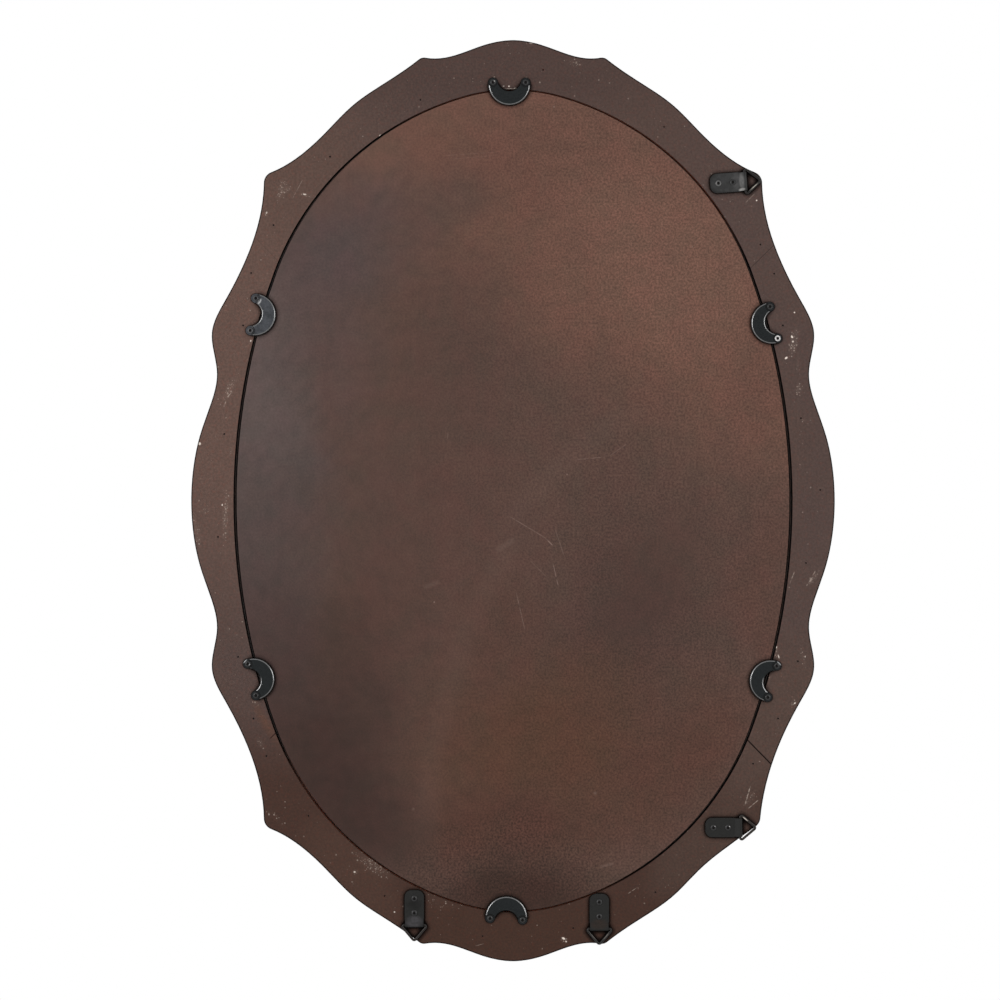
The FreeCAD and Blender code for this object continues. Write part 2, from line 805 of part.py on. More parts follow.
def members(layer, names, first_turn):
    """Parts a layer along two planes through the middle, square to each other"""
    drilled = doc.addObject("Part::Cut", f"{layer.Name}_drilled")
    drilled.Base = layer
    drilled.Tool = holes
    parts = []
    for quarter, name in enumerate(names):
        corner = doc.addObject("Part::Box", f"quarter_{name}")
        for side in ("Length", "Height"):
            bind(corner, side, "2 * opening_half_height")
        bind(corner, "Width", "glass_depth + board_depth + front_depth")
        turn = Rotation(Vector(0, 1, 0), first_turn + 90 * quarter)
        corner.Placement = Placement(Vector(0, -FULL_DEPTH, 0), turn)
        member = doc.addObject("Part::Common", name)
        member.Base = drilled
        member.Tool = corner
        parts.append(member)
    return parts


back_members = members(
    back_layer, ("back_top", "back_left", "back_bottom", "back_right"), -size("mitre_angle")
)
front_members = members(
    front_layer,
    ("front_upper_left", "front_lower_left", "front_lower_right", "front_upper_right"), 0,
)

doc.recompute()

nodes = back_members + front_members + [mirror_glass, backing_board, frame_brads]
nodes += clips + [clip_screws] + straps + rings + [hanger_screws]

for item in doc.Objects:
    if "Invalid" in item.State or "Error" in item.State:
        raise RuntimeError(f"{item.Label} failed: {item.State}")
for node in nodes:
    if node.Shape.isNull() or not node.Shape.isValid():
        raise RuntimeError(f"{node.Label} has no valid shape")

os.makedirs("parts", exist_ok=True)
for node in nodes:
    node.Shape.exportStep(f"parts/{node.Label}.step")
    solids = len(node.Shape.Solids)
    print(f"{node.Label}: {solids} solid(s), {node.Shape.Volume / 1000:.2f} cm3")
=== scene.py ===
# Looks of an oval wall mirror, seen from behind: worn paint, hardboard and black ironwork
import json
import math
from typing import NamedTuple

import bpy
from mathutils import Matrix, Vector


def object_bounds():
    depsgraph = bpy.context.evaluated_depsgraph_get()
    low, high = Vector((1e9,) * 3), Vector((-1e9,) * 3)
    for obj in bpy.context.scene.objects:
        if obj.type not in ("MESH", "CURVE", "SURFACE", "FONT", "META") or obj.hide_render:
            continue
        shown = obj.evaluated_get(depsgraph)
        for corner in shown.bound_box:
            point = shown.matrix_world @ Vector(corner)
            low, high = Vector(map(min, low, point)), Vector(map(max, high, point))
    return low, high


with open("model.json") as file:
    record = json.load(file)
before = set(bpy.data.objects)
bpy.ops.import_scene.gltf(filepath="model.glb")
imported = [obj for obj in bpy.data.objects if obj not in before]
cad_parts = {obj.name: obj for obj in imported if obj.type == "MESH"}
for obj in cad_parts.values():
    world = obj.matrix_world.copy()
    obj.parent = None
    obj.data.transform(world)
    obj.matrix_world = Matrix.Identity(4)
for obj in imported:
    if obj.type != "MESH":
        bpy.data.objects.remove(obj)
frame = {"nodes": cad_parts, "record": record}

CAD_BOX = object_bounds()
NODES = frame["nodes"]
MM_PER_M = 1000

# Photograph's view: straight at the back, from far off
PIXEL = 0.0011933
IMAGE_PIXELS = 1000
MIDDLE_PIXEL = (513.0, 500.7)
CAMERA_DISTANCE = 4.0
SENSOR_MM = 36.0

# Studio, in metres and watts. Each lamp has a place and a power
FLOOR_DROP = 0.22
FLOOR_HALF = 12.0
FLOOR_GREY = 0.85
FLOOR_SHADE = 0.5
FLOOR_SHADE_REACH = (0.5, 1.1)
FILL_LIGHT = 0.25
LAMP_WIDTH = 0.9
LAMP_HEIGHT = 1.8
LEFT_LAMP = ((2.4, 2.0, 0.7), 57.0)
RIGHT_LAMP = ((-2.4, 2.0, 0.5), 44.0)
FRONT_LAMP = ((0.6, -3.0, 1.2), 60.0)

# What a matt surface's gloss adds to its colour in a white room
GLOSS_VEIL = 0.010


def from_srgb(level):
    """Linear value of a level from 0 to 255, by the sRGB curve"""
    share = level / 255
    if share <= 0.04045:
        return share / 12.92
    return ((share + 0.055) / 1.055) ** 2.4


def colour(red, green, blue):
    """Linear colour from the levels that a picture shows"""
    return (from_srgb(red), from_srgb(green), from_srgb(blue), 1.0)


def matt(red, green, blue):
    """Base colour of a matt surface that shows these levels under its faint gloss"""
    levels = colour(red, green, blue)[:3]
    return (*(max(level - GLOSS_VEIL, 0.0) for level in levels), 1.0)


def grey(level):
    return (level, level, level, 1.0)


def on_back(right, up):
    """Place in metres, from millimetres right and up of the back's middle, seen from behind"""
    return Vector((-right, 0.0, up)) / MM_PER_M


class Patch(NamedTuple):
    """Soft oval area, plain in its core, in millimetres and degrees. As a mask it has no tone"""
    right: float
    up: float
    half_long: float
    half_wide: float
    angle: float
    tone: tuple
    amount: float = 1.0
    core: float = 0.0


class Mark(NamedTuple):
    """Thin line or rubbed place, in millimetres and degrees. Its ends turn aside by the bend"""
    right: float
    up: float
    half_long: float
    half_wide: float
    angle: float
    amount: float
    bend: float = 0.0


class Pattern(NamedTuple):
    """Noise, and the band of its values that is drawn out from 0 to 1"""
    scale: float
    detail: float
    roughness: float = 0.5
    band: tuple = None


class Specks(NamedTuple):
    """Crisp dots, at most one to a cell, by a chance on rubbed places and a lesser one all over"""
    cell: float
    girth: float
    rubbed: float
    stray: float
    amount: float


# Soft edges of the dots and of the draw for them, and the smallest dot's share of the largest
DOT_EDGE = 0.08
DRAW_EDGE = 0.02
SMALLEST_DOT = 0.35
# Shares of a stroke's half width and half length that are plain
STROKE_CORE = 0.2
STROKE_PLAIN = 0.6
# Patches and marks reach this far in depth, so that only the place on the back counts
ANY_DEPTH = 1000
NOISE_MIDDLE = (0.5, 0.5, 0.5)
DIRT_SAMPLES = 6


class Finish:
    """Node material, put together from sockets. Places are in metres on the piece"""

    def __init__(self, name, roughness, specular=0.5):
        self.material = bpy.data.materials.new(name)
        self.material.use_nodes = True
        self.tree = self.material.node_tree
        self.shader = self.tree.nodes["Principled BSDF"]
        self.set("Roughness", roughness)
        self.set("Specular IOR Level", specular)
        coordinates = self.node("ShaderNodeTexCoord")
        self.place = coordinates.outputs["Object"]
        self.x, self.y, self.z = self.split(self.place)
        self.facing = self.split(coordinates.outputs["Normal"])

    def feed(self, socket, value):
        if isinstance(value, bpy.types.NodeSocket):
            self.tree.links.new(value, socket)
        else:
            socket.default_value = value

    def set(self, name, value):
        self.feed(self.shader.inputs[name], value)

    def node(self, kind, *inputs, **settings):
        node = self.tree.nodes.new(kind)
        for key, value in settings.items():
            setattr(node, key, value)
        for socket, value in zip(node.inputs, inputs):
            self.feed(socket, value)
        return node

    def math(self, operation, *values):
        return self.node("ShaderNodeMath", *values, operation=operation).outputs[0]

    def times(self, first, second):
        return self.math("MULTIPLY", first, second)

    def plus(self, first, second):
        return self.math("ADD", first, second)

    def opposite(self, mask):
        """1 where a mask is 0, and 0 where it is 1"""
        return self.math("SUBTRACT", 1.0, mask)

    def split(self, vector):
        return self.node("ShaderNodeSeparateXYZ", vector).outputs[:]

    def most(self, masks):
        """Largest of several masks at each place. Few are kept at once if they are made in turn"""
        masks = iter(masks)
        top = next(masks)
        for mask in masks:
            top = self.math("MAXIMUM", top, mask)
        return top

    def between(self, value, low, high):
        """Rises smoothly from 0 at low to 1 at high, or falls where low is the larger"""
        node = self.node(
            "ShaderNodeMapRange", value, low, high, 0.0, 1.0, interpolation_type="SMOOTHSTEP"
        )
        return node.outputs[0]

    def spread(self, value, low, high):
        """Noise or mask from 0 to 1, laid out from low to high"""
        return self.node("ShaderNodeMapRange", value, 0.0, 1.0, low, high).outputs[0]

    def mix(self, amount, first, second, blend="MIX"):
        node = self.node("ShaderNodeMix", amount, data_type="RGBA", blend_type=blend)
        self.feed(node.inputs[6], first)
        self.feed(node.inputs[7], second)
        return node.outputs[2]

    def shade(self, base, factor):
        """Base colour made lighter or darker by a factor"""
        tint = self.node("ShaderNodeCombineXYZ", factor, factor, factor).outputs[0]
        return self.mix(1.0, base, tint, "MULTIPLY")

    def specks(self, kind, rubbed):
        """Dots on the back, many of them where it is rubbed"""
        chance = self.math("MULTIPLY_ADD", rubbed, kind.rubbed, kind.stray)
        flat = self.node("ShaderNodeCombineXYZ", self.x, self.z).outputs[0]
        node = self.node("ShaderNodeTexVoronoi", flat, voronoi_dimensions="2D")
        self.feed(node.inputs["Scale"], 1 / kind.cell)
        distance = node.outputs["Distance"]
        luck, share, _ = self.split(node.outputs["Color"])
        drawn = self.between(self.math("SUBTRACT", chance, luck), 0.0, DRAW_EDGE)
        radius = self.spread(share, SMALLEST_DOT * kind.girth, kind.girth)
        dot = self.between(self.math("SUBTRACT", radius, distance), 0.0, DOT_EDGE)
        return self.times(drawn, dot)

    def noise(self, pattern, place=None, output=0):
        """Noise from 0 to 1, or a vector of three such noises from output 1"""
        node = self.node("ShaderNodeTexNoise")
        self.feed(node.inputs["Vector"], place or self.place)
        self.feed(node.inputs["Scale"], pattern.scale)
        self.feed(node.inputs["Detail"], pattern.detail)
        self.feed(node.inputs["Roughness"], pattern.roughness)
        return node.outputs[output]

    def banded(self, pattern):
        """Noise from 0 to 1 across its band"""
        return self.between(self.noise(pattern), *pattern.band)

    def warped(self, pattern, reach):
        """Place pushed about by soft noise, so that oval patches lose their outline"""
        push = self.noise(pattern, output=1)
        push = self.node("ShaderNodeVectorMath", push, NOISE_MIDDLE, operation="SUBTRACT")
        push = self.node("ShaderNodeVectorMath", push.outputs[0], operation="SCALE")
        push.inputs["Scale"].default_value = reach
        return self.node("ShaderNodeVectorMath", self.place, push.outputs[0]).outputs[0]

    def local(self, spot, place=None):
        """Place seen from a patch or mark, in shares of its half sizes"""
        node = self.node("ShaderNodeMapping", place or self.place, vector_type="TEXTURE")
        node.inputs["Location"].default_value = on_back(spot.right, spot.up)
        node.inputs["Rotation"].default_value = (0, math.pi + math.radians(spot.angle), 0)
        half_long = spot.half_long / MM_PER_M
        half_wide = spot.half_wide / MM_PER_M
        node.inputs["Scale"].default_value = (half_long, ANY_DEPTH, half_wide)
        return node.outputs[0]

    def oval(self, spot, inner=0.0, place=None):
        """1 inside the inner share of an oval and 0 outside it"""
        reach = self.node("ShaderNodeVectorMath", self.local(spot, place), operation="LENGTH")
        return self.between(reach.outputs[1], 1.0, inner)

    def area(self, spot, inner=0.0, place=None):
        """Oval as strong as the patch or mark says"""
        return self.times(self.oval(spot, inner, place), spot.amount)

    def stroke(self, mark):
        """Thin mark, as strong as it says along its middle, fading to its sides and ends"""
        along, _, across = self.split(self.local(mark))
        if mark.bend:
            curve = self.times(self.times(along, along), mark.bend / mark.half_wide)
            across = self.plus(across, curve)
        body = self.between(self.math("ABSOLUTE", across), 1.0, STROKE_CORE)
        ends = self.between(self.math("ABSOLUTE", along), 1.0, STROKE_PLAIN)
        return self.times(self.times(body, ends), mark.amount)

    def patched(self, base, patches, place):
        """Base colour under soft patches, each over the ones before it"""
        for patch in patches:
            base = self.mix(self.area(patch, patch.core, place), base, patch.tone)
        return base

    def close_by(self, reach):
        """0 in the open, and near 0.5 right beside another piece or in a corner"""
        node = self.node("ShaderNodeAmbientOcclusion", samples=DIRT_SAMPLES)
        self.feed(node.inputs["Distance"], reach)
        return self.opposite(node.outputs["AO"])

    def bump(self, height, depth, strength):
        node = self.node("ShaderNodeBump")
        self.feed(node.inputs["Strength"], strength)
        self.feed(node.inputs["Distance"], depth)
        self.feed(node.inputs["Height"], height)
        self.set("Normal", node.outputs[0])


# Painted shade, with some dirt, in corners, gaps and recesses and along the edges of what is
# screwed on
SHADE_AND_GRIME = colour(14, 11, 10)
CONTACT_REACH = 0.006
CONTACT_BAND = (0.07, 0.26)
BACKWARDS = (0.3, 0.6)
# Brown dust fills the gap round the board towards the ends of the oval, between these heights
DUST = colour(150, 88, 64)
DUSTY_ENDS = (0.36, 0.46)


def dusty_gap(finish):
    """1 at the ends of the gap. Its clear part reaches higher at the left and lower at the right"""
    lean = finish.times(finish.x, finish.z)
    height = finish.math("SUBTRACT", finish.math("ABSOLUTE", finish.z), lean)
    return finish.between(height, *DUSTY_ENDS)


# Painted shade on the gap's walls, with brown dust towards the ends
def gap_shade_and_dust(finish):
    return finish.mix(dusty_gap(finish), SHADE_AND_GRIME, DUST)


def painted_contact_shade(finish):
    """Painted contact shade, with some dirt: a dark line on a face that looks backwards, along
    whatever stands on it
    """
    near = finish.between(finish.close_by(CONTACT_REACH), *CONTACT_BAND)
    return finish.times(near, finish.between(finish.facing[1], *BACKWARDS))


# Frame's back: dark brown paint, mottled, scuffed and rubbed at the edges, with painted shade on
# its rounded edges

PAINT_BASE = matt(83, 69, 65)
PAINT_WARM = matt(84, 69, 64)
PAINT_LOW = matt(70, 53, 47)
DARK_JOINTS_AND_SHADE = colour(16, 13, 12)
PAINT_SIDE = matt(62, 48, 42)
SCUFF_TONE = colour(158, 142, 131)
CHIP_TONE = colour(226, 212, 200)
# Flecks change the colour under them by these factors
RED_FLECK = (1.14, 0.97, 0.94, 1.0)

PAINT_CLOUDS = Pattern(9.0, 4.0, band=(0.38, 0.62))
PAINT_DRIFT = Pattern(5.0, 4.0)
PAINT_DRIFT_REACH = 0.08
PAINT_BLOTS = Pattern(55.0, 3.0)
PAINT_BLOT_SHADE = (0.90, 1.10)
PAINT_GRAIN = Pattern(360.0, 3.0, 0.6, (0.32, 0.68))
PAINT_GRAIN_SHADE = (0.83, 1.17)
PAINT_FLECKS = Pattern(230.0, 3.0, 0.7, (0.50, 0.66))
PAINT_ROUGHNESS = (0.65, 0.85)
PAINT_RELIEF = (0.0001, 0.3)

# Scuffs are a faint veil with crisp specks in it, and scratches are broken up
SCUFF_VEIL = 0.07
COARSE_SPECKS = Specks(0.0032, 0.36, 0.75, 0.015, 0.6)
FINE_SPECKS = Specks(0.0018, 0.42, 0.60, 0.012, 0.45)
PAINT_BREAKS = Pattern(260.0, 2.0, band=(0.35, 0.6))
CHIP_CORE = 0.4

# How far a face looks backwards where a wall or a rounded edge starts and where it is full
PAINT_WALL = (0.45, 0.15)
PAINT_ROUNDED = (0.985, 0.80)
# Faces look outwards past this band, which is in metres because it is weighed by the place
OUTWARDS = (-0.02, 0.02)

# The paint is darker below this band of heights, partly as painted shade
LOW_PAINT = (-0.21, -0.35)
# Patches of the paint's own mottle; the lighter one at the left and the darker ones at the bottom
# are partly painted light and shade
PAINT_PATCHES = (
    Patch(-340, 190, 380, 170, 90, matt(97, 78, 71), 1.0, 0.4),
    Patch(-250, 390, 150, 90, 50, matt(92, 74, 67), 0.8, 0.2),
    Patch(0, 530, 300, 110, 0, matt(78, 64, 60), 0.9, 0.4),
    Patch(0, -530, 260, 90, 0, matt(69, 52, 45), 0.8, 0.3),
    Patch(310, -270, 150, 60, 62, matt(84, 69, 63), 0.9, 0.3),
    Patch(228, -408, 110, 55, 40, matt(77, 62, 56), 1.0, 0.4),
    Patch(-190, -442, 110, 50, -42, matt(77, 59, 52), 0.9, 0.3),
    Patch(-289, -262, 44, 10, -62, matt(98, 70, 57), 0.5, 0.0),
)
SCUFFS = (
    Mark(335, 189, 24, 7, 80, 1.0),
    Mark(339.5, 162, 14, 3, 88, 0.6),
    Mark(341, 133, 10, 6, 80, 0.8),
    Mark(346, 96, 3, 3, 0, 0.6),
    Mark(356, -95, 10, 4, 60, 1.0),
    Mark(361, -90, 20, 4, 54, 0.6),
    Mark(313, -181, 12, 5, 100, 0.9),
    Mark(306, -212, 14, 3, 75, 0.7),
    Mark(346, -188, 18, 4, 100, 0.4),
    Mark(334, -242, 6, 4, 45, 0.9),
    Mark(283, -356, 17, 7, 62, 0.6),
    Mark(61, -524, 7, 5, -40, 0.8),
    Mark(73, 523, 16, 6, -10, 0.5),
    Mark(-85, -478, 30, 14, -20, 0.2),
    Mark(-166, -434, 36, 14, -35, 0.9),
    Mark(-188, -443, 6, 5, 0, 0.9),
    Mark(-284, -377, 24, 6, -45, 0.25),
    Mark(-276, 371, 18, 8, 75, 0.9),
    Mark(-269, 372, 7, 6, 0, 0.9),
    Mark(-246, 365, 12, 4, -12, 0.8),
    Mark(-294, 343, 6, 4, 60, 0.8),
    Mark(-313, 191, 5, 3, 60, 0.8),
    Mark(-338, 134, 25, 7, 66, 0.9),
    Mark(-337, 60, 13, 3, 85, 0.5),
    Mark(-343, -18, 44, 5, 88, 1.0),
    Mark(-368, -12, 9, 4, 0, 0.6),
    Mark(-377, -38, 28, 5, 100, 0.6),
    Mark(-308, -240, 10, 5, -60, 0.6),
    Mark(-302, -289, 12, 5, -60, 0.6),
    Mark(-339, -154, 7, 4, 0, 0.4),
)
PAINT_SCRATCHES = (
    Mark(280, -352, 13, 0.9, 74, 1.0),
    Mark(287, -362, 9, 0.8, 40, 0.9),
    Mark(355.6, -94, 6, 1.0, 62, 0.9),
    Mark(352.5, -98, 5, 0.9, 58, 0.7),
    Mark(359, -87, 4, 0.9, 60, 0.6),
    Mark(333.2, -91.6, 8.5, 0.9, 69, 0.6),
    Mark(143, -465, 8, 0.6, 34, 0.7),
    Mark(-40, -530, 6, 0.6, 15, 0.5),
    Mark(283, 361, 9, 0.7, 45, 0.4),
    Mark(-257, 372, 14, 0.6, 62, 0.4),
    Mark(-338, 127, 5, 1.0, 50, 0.8),
    Mark(-344, 115, 4, 1.0, 70, 0.8),
)
CHIPS = (
    Mark(-4, 491.4, 8, 0.9, 0, 0.45),
    Mark(-4.8, 494.5, 1.2, 1.2, 0, 0.9),
    Mark(-11.3, 494.6, 1.6, 0.9, 20, 0.5),
    Mark(2.4, 492.1, 2.2, 0.9, 10, 0.9),
    Mark(21, 547, 4, 2.0, -20, 0.7),
    Mark(-158.8, 435.8, 1.6, 1.1, 35, 0.7),
    Mark(-374, 68, 2.2, 2.2, 60, 0.9),
    Mark(-347, -5, 1.6, 1.0, 80, 0.8),
    Mark(-248.7, 365.5, 2.6, 1.0, -12, 0.8),
    Mark(-235, 362.4, 1.3, 1.0, 0, 0.6),
    Mark(-294, 343.7, 1.5, 1.2, 60, 0.6),
    Mark(-313, 190.7, 1.5, 1.0, 60, 0.8),
    Mark(-189, -443, 1.7, 1.4, 0, 0.7),
    Mark(-141.4, -490.8, 1.3, 1.2, 0, 0.7),
    Mark(60.3, -522.4, 3.0, 1.6, -25, 1.0),
    Mark(63.4, -526, 1.5, 1.1, -40, 0.9),
    Mark(314.4, -175, 1.8, 1.0, 70, 0.8),
    Mark(317, -186, 3.2, 1.0, 105, 0.7),
    Mark(348.6, -186, 1.6, 0.9, 90, 0.5),
    Mark(336.4, -241.6, 1.8, 1.1, 45, 0.8),
    Mark(290.7, 358.4, 1.2, 1.2, 0, 0.9),
    Mark(335.9, 224.6, 1.3, 1.2, 0, 0.9),
    Mark(333, 195.5, 2.3, 1.4, -50, 1.0),
    Mark(334, 189.8, 1.6, 1.3, 0, 0.8),
    Mark(326, 170.3, 2.6, 1.6, 40, 1.0),
)
# Joints between the back members: they lie on two lines through the middle
MITRES = (
    Mark(294, -300, 36, 1.2, -45.6, 1.0),
    Mark(297, 291, 36, 0.6, 44.4, 0.45),
    Mark(-284, -278, 10, 0.9, 44.4, 0.8),
    Mark(-294, 300, 36, 0.5, -45.6, 0.2),
)


def paint_tones(paint):
    """Colour of the mottled paint, and its grain"""
    base = paint.mix(paint.banded(PAINT_CLOUDS), PAINT_BASE, PAINT_WARM)
    drift = paint.warped(PAINT_DRIFT, PAINT_DRIFT_REACH)
    base = paint.mix(paint.between(paint.split(drift)[2], *LOW_PAINT), base, PAINT_LOW)
    base = paint.patched(base, PAINT_PATCHES, drift)
    base = paint.shade(base, paint.spread(paint.noise(PAINT_BLOTS), *PAINT_BLOT_SHADE))
    grain = paint.banded(PAINT_GRAIN)
    base = paint.shade(base, paint.spread(grain, *PAINT_GRAIN_SHADE))
    base = paint.mix(paint.banded(PAINT_FLECKS), base, RED_FLECK, "MULTIPLY")
    return base, grain


def worn_paint(paint, base):
    """Base colour under scuffs, scratches and chips"""
    rubbed = paint.most(paint.area(mark) for mark in SCUFFS)
    base = paint.mix(paint.times(rubbed, SCUFF_VEIL), base, SCUFF_TONE)
    coarse = paint.specks(COARSE_SPECKS, rubbed)
    fine = paint.specks(FINE_SPECKS, rubbed)
    lines = paint.most(paint.stroke(mark) for mark in PAINT_SCRATCHES)
    broken = paint.banded(PAINT_BREAKS)
    worn = paint.most([
        paint.times(coarse, COARSE_SPECKS.amount),
        paint.times(fine, FINE_SPECKS.amount),
        paint.times(lines, broken),
    ])
    base = paint.mix(worn, base, SCUFF_TONE)
    chipped = paint.most(paint.area(mark, CHIP_CORE) for mark in CHIPS)
    return paint.mix(chipped, base, CHIP_TONE)


def back_paint():
    paint = Finish("back_paint", roughness=0.75, specular=0.15)
    base, grain = paint_tones(paint)
    base = worn_paint(paint, base)
    joint = paint.most(paint.stroke(mark) for mark in MITRES)

    # The rounded edge gets painted shade outside, and in the opening beside a clear gap
    outward = paint.plus(
        paint.times(paint.x, paint.facing[0]), paint.times(paint.z, paint.facing[2])
    )
    outer = paint.between(outward, *OUTWARDS)
    wall = paint.between(paint.facing[1], *PAINT_WALL)
    rounded = paint.between(paint.facing[1], *PAINT_ROUNDED)
    clear = paint.opposite(dusty_gap(paint))
    shaded_edge = paint.times(rounded, paint.most([outer, clear]))
    shaded_edge = paint.times(shaded_edge, paint.opposite(wall))

    # Walls are dim outside, and in the opening they get painted shade, with dust towards the ends
    sides = paint.mix(outer, gap_shade_and_dust(paint), PAINT_SIDE)
    base = paint.mix(wall, base, sides)
    shade_and_joints = paint.most([joint, shaded_edge, painted_contact_shade(paint)])
    paint.set("Base Color", paint.mix(shade_and_joints, base, DARK_JOINTS_AND_SHADE))
    # The painted shade and the joints have no pale gloss on them, because a metal's gloss has the
    # metal's own tone
    paint.set("Metallic", shade_and_joints)
    gloss = paint.spread(grain, *PAINT_ROUGHNESS)
    paint.set("Roughness", paint.math("MAXIMUM", gloss, shaded_edge))
    paint.bump(grain, *PAINT_RELIEF)
    return paint.material


# Backing board: hardboard with a felted speckle, warm towards the upper right and ashy at the left,
# with painted light in both

BOARD_BASE = matt(89, 70, 63)
BOARD_WARM = matt(105, 78, 68)
BOARD_MARK = colour(150, 126, 116)
# Dull and pink places change the colour under them by these factors
BOARD_DULL = (0.90, 0.95, 0.95, 1.0)
BOARD_PINK = (1.03, 0.985, 1.0, 1.0)

BOARD_DRIFT = Pattern(7.0, 5.0)
BOARD_DRIFT_REACH = 0.13
DULL_PLACES = Pattern(34.0, 4.0, band=(0.40, 0.64))
PINK_PLACES = Pattern(21.0, 5.0, 0.6, (0.42, 0.60))
BOARD_BLOTS = Pattern(70.0, 4.0)
BOARD_BLOT_SHADE = (0.84, 1.17)
BOARD_BREAKS = Pattern(210.0, 2.0, band=(0.30, 0.55))
BOARD_EDGE = (0.95, 0.60)
BOARD_ROUGHNESS = (0.65, 0.9)
BOARD_RELIEF = (0.00012, 0.4)

# Which way the board grows warmer and lighter, partly by painted light, in degrees from level, and
# where that starts and ends in metres
WARM_WAY = 56
WARM_REACH = (0.11, 0.27)
# The grey strip down the left is a painted sheen; the lighter upper right and the darker lower left
# and bottom are partly painted light and shade
BOARD_PATCHES = (
    Patch(190, 290, 220, 150, -35, matt(112, 84, 73), 0.9, 0.25),
    Patch(-60, 180, 170, 120, 70, matt(84, 66, 60), 0.6, 0.2),
    Patch(-190, -10, 170, 120, 90, matt(85, 68, 62), 0.8, 0.2),
    Patch(-80, -20, 190, 120, 60, matt(87, 66, 60), 0.6, 0.2),
    Patch(140, -128, 210, 165, 60, matt(78, 61, 56), 0.95, 0.1),
    Patch(30, -300, 260, 180, 0, matt(87, 63, 52), 0.85, 0.1),
    Patch(190, -310, 150, 95, 40, matt(87, 63, 55), 0.8, 0.2),
    Patch(300, -120, 130, 55, 90, matt(91, 67, 60), 0.7, 0.2),
    Patch(-10, -395, 170, 65, 0, matt(81, 58, 51), 0.8, 0.2),
    Patch(0, 395, 180, 90, 0, matt(101, 74, 65), 0.6, 0.2),
    Patch(290, 150, 100, 60, 90, matt(101, 75, 66), 0.7, 0.2),
    Patch(-170, -190, 200, 150, 100, matt(82, 63, 57), 0.8, 0.1),
    Patch(-215, 290, 175, 122, 65, matt(84, 71, 69), 1.0, 0.1),
    Patch(-95, 350, 115, 62, 30, matt(87, 70, 64), 0.7, 0.2),
    Patch(-160, 408, 75, 42, 35, matt(103, 79, 69), 0.8, 0.1),
    Patch(-250, 215, 110, 70, 75, matt(86, 73, 70), 0.8, 0.1),
    Patch(-205, 170, 130, 70, 90, matt(87, 72, 69), 0.6, 0.1),
    Patch(-20, -150, 120, 75, 90, matt(86, 64, 57), 0.7, 0.2),
    Patch(-335, 20, 440, 140, 92, matt(82, 70, 67), 1.0, 0.3),
    Patch(-320, 160, 220, 110, 92, matt(92, 80, 77), 1.0, 0.1),
    Patch(-280, -190, 170, 110, 100, matt(75, 61, 58), 0.9, 0.1),
    Patch(-185, -215, 120, 75, -70, matt(73, 58, 53), 0.9, 0.2),
    Patch(-220, -340, 235, 128, -55, matt(66, 52, 48), 1.0, 0.15),
    Patch(0, -485, 170, 85, 0, matt(64, 49, 44), 0.95, 0.15),
)
# The felted grain grows stronger from left to right, between these places in metres
FELT = Pattern(380.0, 3.0, 0.7, (0.30, 0.70))
FELT_MIDDLE = 0.5
FELT_REACH = (0.20, -0.14)
FELT_SWING = (0.26, 0.72)
# It is rubbed smooth in one place and stays coarse along the bottom
SMOOTH_AREA = Patch(165, -90, 130, 80, 60, None, 0.45, 0.4)
COARSE_AREA = Patch(0, -440, 220, 100, 0, None, 1.0, 0.3)
BOARD_SCRATCHES = (
    Mark(-50, 414, 37, 0.6, 4, 0.16),
    Mark(-46, 410, 33, 0.6, 5, 0.12),
    Mark(92, 50.5, 20, 0.6, 5, 0.35),
    Mark(126, 61, 16, 0.6, 35, 0.25),
    Mark(18, -32, 30, 0.7, -31, 0.35),
    Mark(43, -49, 7, 1.0, -45, 0.55),
    Mark(56, -51, 20, 0.7, -72, 0.25),
    Mark(51, -89, 16, 0.7, -77, 0.45),
    Mark(9, -132, 27, 0.7, -77, 0.32),
    Mark(31, -82, 18, 0.6, -45, 0.15),
    Mark(-78, 77, 4, 0.7, 85, 0.2),
)
# Broad faint rubs, the longest a bow down the left of the middle
BOARD_RUBS = (
    Mark(-74, -212, 235, 22, 73, 0.028, -42),
    Mark(57.5, 41.6, 125, 20, 42.75, 0.026, -10),
    Mark(-9, -53, 16, 6, 32, 0.09),
    Mark(-97, -100, 12, 4, 20, 0.07),
    Mark(112, -435, 10, 2.5, 15, 0.14),
)
BOARD_SPECKS = (
    Mark(-94, -121, 1.5, 1.5, 0, 0.6),
    Mark(64.5, 31.4, 1.5, 1.5, 0, 0.5),
    Mark(98, -349, 3.5, 3.0, 0, 0.25),
    Mark(-119, -368, 3.0, 3.0, 0, 0.15),
    Mark(49, 470, 1.6, 1.6, 0, 0.5),
    Mark(214, 303, 1.4, 1.4, 0, 0.35),
)


def board_tones(board, drift, left, up):
    """Colour of the board without its grain"""
    way = math.radians(WARM_WAY)
    slope = board.plus(board.times(left, -math.cos(way)), board.times(up, math.sin(way)))
    base = board.mix(board.between(slope, *WARM_REACH), BOARD_BASE, BOARD_WARM)
    base = board.patched(base, BOARD_PATCHES, drift)
    base = board.mix(board.banded(DULL_PLACES), base, BOARD_DULL, "MULTIPLY")
    base = board.mix(board.banded(PINK_PLACES), base, BOARD_PINK, "MULTIPLY")
    return board.shade(base, board.spread(board.noise(BOARD_BLOTS), *BOARD_BLOT_SHADE))


def felted(board, base, drift, left):
    """Base colour with the felted grain in it, and the grain"""
    felt = board.banded(FELT)
    swing = board.spread(board.between(left, *FELT_REACH), *FELT_SWING)
    smooth = board.area(SMOOTH_AREA, SMOOTH_AREA.core, drift)
    swing = board.times(swing, board.opposite(smooth))
    coarse = board.area(COARSE_AREA, COARSE_AREA.core, drift)
    swing = board.times(
        board.math("SUBTRACT", felt, FELT_MIDDLE), board.most([swing, coarse])
    )
    return board.shade(base, board.plus(swing, 1.0)), felt


